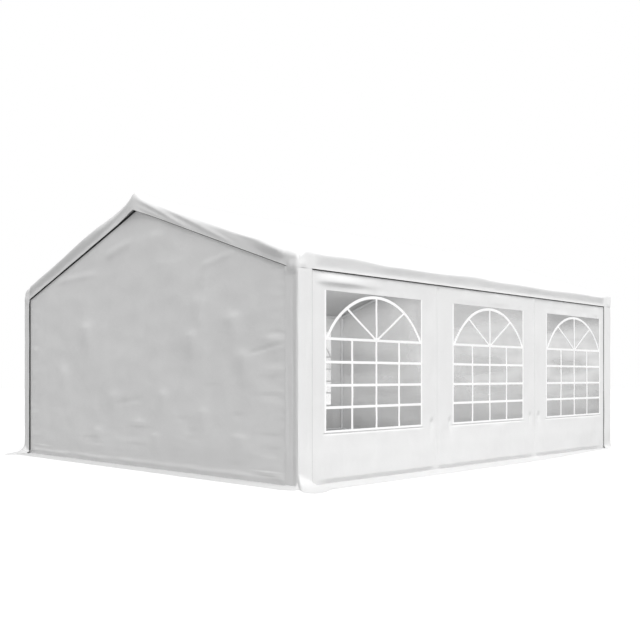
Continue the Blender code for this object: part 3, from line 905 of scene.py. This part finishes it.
WRAP_TOP = HEM_Z + 0.02  # under the fascia
WEDGE = {"right": 0.0225, "left": 0.006}  # how far a front wrap falls back from its corner on the gable
WEDGE_RUN = 0.08  # width over which it does
EDGE_IN = {"front": 0.004, "rear": 0.002}  # how far a wrap's free edge on a long side lies in
WRAP_TUCK = 0.0009  # how far a wrap draws in under the fascia
FOOT_ROWS = 12
FOOT_SPREAD = 1.7  # how late a foot spreads, and how early it falls
FOOT_FALL = 2.2
OVER_GROUND = 0.002  # height of the outside of cloth that lies on the ground

# Feet of the wraps. An outline gives places along the wrap, with the long side first and the corner at 0, and
# how far the foot's edge lies out from the leg there, across and along. Roots give the height where the foot
# starts to spread.
ROUND_FOOT = (
    (-0.185, 0.300, -0.155), (-0.150, 0.316, -0.087), (-0.120, 0.345, -0.020), (-0.090, 0.385, 0.060),
    (-0.065, 0.404, 0.139), (-0.045, 0.385, 0.190), (-0.030, 0.330, 0.214), (-0.015, 0.255, 0.205),
    (-0.006, 0.190, 0.165), (0.004, 0.120, 0.110), (0.015, 0.128, 0.178), (0.035, 0.092, 0.205),
    (0.080, 0.010, 0.232), (0.125, -0.090, 0.236),
)
ROUND_ROOTS = (
    (-0.185, 0.045), (-0.100, 0.085), (-0.020, 0.125), (0.020, 0.060), (0.050, 0.020), (0.125, 0.012),
)
FORWARD_FOOT = (
    (-0.185, 0.282, -0.155), (-0.120, 0.265, -0.040), (-0.070, 0.220, 0.050), (-0.030, 0.150, 0.150),
    (0.010, 0.060, 0.260), (0.050, -0.030, 0.340), (0.080, -0.070, 0.335), (0.125, -0.130, 0.270),
)
FORWARD_ROOTS = ((-0.185, 0.050), (0.000, 0.140), (0.050, 0.100), (0.125, 0.030))
CLOSE_FOOT = (
    (-0.185, 0.095, -0.155), (-0.100, 0.090, -0.050), (-0.030, 0.085, 0.040), (0.010, 0.060, 0.120),
    (0.050, 0.000, 0.190), (0.125, -0.110, 0.230),
)
FEET = {
    ("front", "right"): (ROUND_FOOT, ROUND_ROOTS),
    ("front", "left"): (FORWARD_FOOT, FORWARD_ROOTS),
    ("rear", "right"): (CLOSE_FOOT, ROUND_ROOTS),
    ("rear", "left"): (ROUND_FOOT, ROUND_ROOTS),
}


def along_table(table, place):
    """A row of values at a place, read evenly between the rows of a table."""
    for low, high in zip(table, table[1:]):
        if place <= high[0]:
            share = max(place - low[0], 0.0) / (high[0] - low[0])
            return [a + (b - a) * share for a, b in zip(low[1:], high[1:])]
    return list(table[-1][1:])


def make_corner_wrap(end, sy, side, sx):
    outline, roots = FEET[end, side]
    gable_width = EAVE_X - GABLE_EDGES[side == "right"]
    corner_proud = CORNER_PROUD[end == "rear"]
    extra = corner_proud - CORNER_PROUD[0]
    out_y = GABLE_Y + corner_proud

    def plan(s, proud, z):
        """Out from the leg, across and along, at place s round the wrap."""
        if s < 0:
            x = EAVE_X - EDGE_IN[end] * smooth(WRAP_SIDE - 0.02, WRAP_SIDE, -s)
            y = out_y + s * (1 + extra / WRAP_SIDE)
        else:
            low = (WEDGE[side] + extra) * min(s / WEDGE_RUN, 1.0)
            under_fascia = corner_proud * smooth(*CORNER_FADE, s)
            x = EAVE_X - s
            y = out_y - low - (under_fascia - low) * smooth(HEM_Z - 0.05, HEM_Z - 0.005, z)
        x, y = rounded_corner(x + proud, y + proud, EAVE_X + proud, out_y + proud, CORNER_R)
        return x - HALF_SPAN, y - HALF_LENGTH

    def place(s, v):
        """The wrap stands where v is 0 to 1, and its foot spreads where v is 0 to -1."""
        root = along_table(roots, s)[0]
        if v >= 0:
            z = root + v * (WRAP_TOP - root)
            tuck = WRAP_TUCK * smooth(HEM_Z - 0.012, HEM_Z - 0.002, z)
            wave = 0.003 * ripple(s * 3 + 7 * sx, z * 0.35 + 3 * sy, 0.11, 2.0) * smooth(0.0, 0.3, z - root)
            wave *= 1 - smooth(HEM_Z - 0.3, HEM_Z - 0.05, z)
            p, q = plan(s, wave - tuck, z)
        else:
            t = -v
            p0, q0 = plan(s, 0.0, root)
            p1, q1 = along_table(outline, s)
            out = t ** FOOT_SPREAD
            z = root * (1 - t) ** FOOT_FALL + OVER_GROUND
            p, q = p0 + (p1 - p0) * out, q0 + (q1 - q0) * out
        return Vector((sx * (HALF_SPAN + p), sy * (HALF_LENGTH + q), z))

    bm = flat_grid(
        spaced(-WRAP_SIDE, gable_width, 0.0075),
        joined(spaced(-1.0, 0.0, 1 / FOOT_ROWS), spaced(0.0, 1.0, 0.012)),
    )
    hang(bm, place, (sx, sy, 0.5))
    wrap = piece(f"wrap_{end}_{side}", bm, COVER_CLOTH)
    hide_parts(f"corner_wrap_{end}_{side}")


# Ground flaps: the feet of the walls, turned outwards to lie on the ground

FLAP_ROOT = 0.004  # how high a flap's bend rises behind the wall's hem
SIDE_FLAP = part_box("ground_flap_right")[1].x - WALL_X
GABLE_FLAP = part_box("ground_flap_rear")[1].y - WALL_Y
UNDER_WRAP = 0.01  # how far a flap's ends reach under the corner wraps
BEHIND_HEM = 0.002  # how far its bend lies behind the wall's hem


def make_ground_flap(name, reach, layer, width_at, inner, to_place, outward):
    """A long strip: its top edge lies behind the wall's hem, and it lies out flat on the ground."""
    def place(run, v):
        outer = width_at(run) + 0.006 * ripple(run, 0.0, 0.4, layer + 3)
        if v >= 0:
            return to_place(run, inner, OVER_GROUND + FLAP_ROOT + v)
        t = -v
        lifted = 0.005 * abs(ripple(run, t * 0.3, 0.3, layer + 5)) * smooth(0.3, 1.0, t)
        lifted += 0.005 * bump(abs(run) - SEAM_YS[1], 0.09) * (1 - smooth(0.3, 0.7, t))
        out = inner + (outer - inner) * t ** 1.3
        return to_place(run, out, OVER_GROUND + FLAP_ROOT * (1 - t) ** 3 + lifted)

    bm = flat_grid(spaced(-reach, reach, CELL), joined(spaced(-1.0, 0.0, 0.1), spaced(0.0, 0.02, 0.01)))
    hang(bm, place, outward)
    flap = piece(name.replace("ground_flap", "skirt"), bm, COVER_CLOTH)
    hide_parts(name)
    width = sum(width_at(run) for run in (-reach, 0.0, reach)) / 3


def side_flap_width(y):
    """The side flaps draw in towards the rear."""
    return SIDE_FLAP + 0.008 - 0.20 * smooth(0.3, 3.2, y)


def make_ground_flaps():
    for side, sx in SIDES:
        def beside(run, out, z, sx=sx):
            return Vector((sx * (WALL_X + out), run, z))

        make_ground_flap(f"ground_flap_{side}", OUTER_Y - WRAP_SIDE + UNDER_WRAP, sx * 2.0, side_flap_width,
                         -HEM_TUCK - BEHIND_HEM, beside, (sx, 0, 0.5))
    for end, sy in ENDS:
        def before(run, out, z, sy=sy):
            return Vector((run, sy * (WALL_Y + out), z))

        make_ground_flap(f"ground_flap_{end}", GABLE_EDGES[0] + UNDER_WRAP, sy * 5.0, lambda run: GABLE_FLAP,
                         -BEHIND_HEM, before, (0, sy, 0.5))


# Steel frame: the solids themselves, in white powder coat

FRAME_NAMES = ("ridge_rail", "eave_rail", "ground_rail", "leg", "rafter", "purlin")


def finish_frame():
    for name, obj in frame["nodes"].items():
        if name.startswith(FRAME_NAMES):
            obj.data.materials.clear()
            obj.data.materials.append(POWDER_COAT)


# Floor, light and camera

FLOOR_HALF = 60
FLOOR_GLOW = 0.84  # so that the floor is as white as the backdrop
SUN_FROM = (0.564, -0.141, 0.813)
SUN_STRENGTH = 2.9
SUN_WIDTH = math.radians(44)
SKY_STRENGTH = 0.53  # the backdrop itself is pure white
LAMPS = (("through_cloth", 2.3, 0.0, 40), ("under_cover", 2.0, math.pi, 30))  # name, height, turn and watts
LAMP_SIZE = (3.0, 5.4)


def make_floor():
    bm = bmesh.new()
    bmesh.ops.create_grid(bm, x_segments=1, y_segments=1, size=FLOOR_HALF)
    mesh = bpy.data.meshes.new("floor")
    bm.to_mesh(mesh)
    bm.free()
    floor = bpy.data.objects.new("floor", mesh)
    bpy.context.scene.collection.objects.link(floor)
    material, tree, shader = new_material("pale_floor", 0.9)
    seen = node(tree, "ShaderNodeLightPath").outputs["Is Camera Ray"]
    tree.links.new(mixed(tree, seen, grey(0.40), grey(0.20)), shader.inputs["Base Color"])
    tree.links.new(maths(tree, "MULTIPLY", seen, FLOOR_GLOW), shader.inputs["Emission Strength"])
    shader.inputs["Specular IOR Level"].default_value = 0.0
    mesh.materials.append(material)


def make_light():
    world = bpy.data.worlds.new("studio")
    bpy.context.scene.world = world
    world.use_nodes = True
    tree = world.node_tree
    backdrop = tree.nodes["Background"]
    path = node(tree, "ShaderNodeLightPath")
    seen = maths(tree, "MAXIMUM", path.outputs["Is Camera Ray"], path.outputs["Is Glossy Ray"])
    backdrop.inputs["Color"].default_value = grey(1.0)
    tree.links.new(ranged(tree, seen, 0.0, 1.0, SKY_STRENGTH, 1.0), backdrop.inputs["Strength"])

    sun = bpy.data.lights.new("key", "SUN")
    sun.energy = SUN_STRENGTH
    sun.angle = SUN_WIDTH
    key = bpy.data.objects.new("key", sun)
    key.rotation_euler = Vector(SUN_FROM).to_track_quat("Z", "Y").to_euler()
    bpy.context.scene.collection.objects.link(key)

    # White cloth lets light through, so the room under the cover is bright
    for name, height, turn, watts in LAMPS:
        glow = bpy.data.lights.new(name, "AREA")
        glow.shape = "RECTANGLE"
        glow.size, glow.size_y = LAMP_SIZE
        glow.energy = watts
        lamp = bpy.data.objects.new(name, glow)
        lamp.location = (0, 0, height)
        lamp.rotation_euler = (turn, 0, 0)
        lamp.visible_camera = False
        lamp.visible_glossy = False
        bpy.context.scene.collection.objects.link(lamp)


def make_camera():
    camera = bpy.data.cameras.new("camera")
    camera.lens = LENS_MM
    camera.sensor_width = SENSOR_MM
    camera.sensor_fit = "HORIZONTAL"
    camera.shift_y = (HORIZON_PX - PHOTO_SIDE / 2) / PHOTO_SIDE
    camera.clip_end = 200
    obj = bpy.data.objects.new("camera", camera)
    obj.location = CAMERA_PLACE
    obj.rotation_euler = (math.pi / 2, 0, CAMERA_YAW)
    bpy.context.scene.collection.objects.link(obj)
    bpy.context.scene.camera = obj
    bpy.context.scene.view_settings.view_transform = "Standard"


def main():
    make_camera()
    make_floor()
    make_light()
    finish_frame()
    make_roof_cover()
    for end, sy in ENDS:
        make_gable_wall(end, sy)
    for side, sx in SIDES:
        make_side_wall(side, sx)
        for bay, middle in zip(BAYS, WINDOW_YS):
            make_window(side, sx, bay, middle)
        for end, sy in ENDS:
            make_corner_wrap(end, sy, side, sx)
    make_ground_flaps()


main()
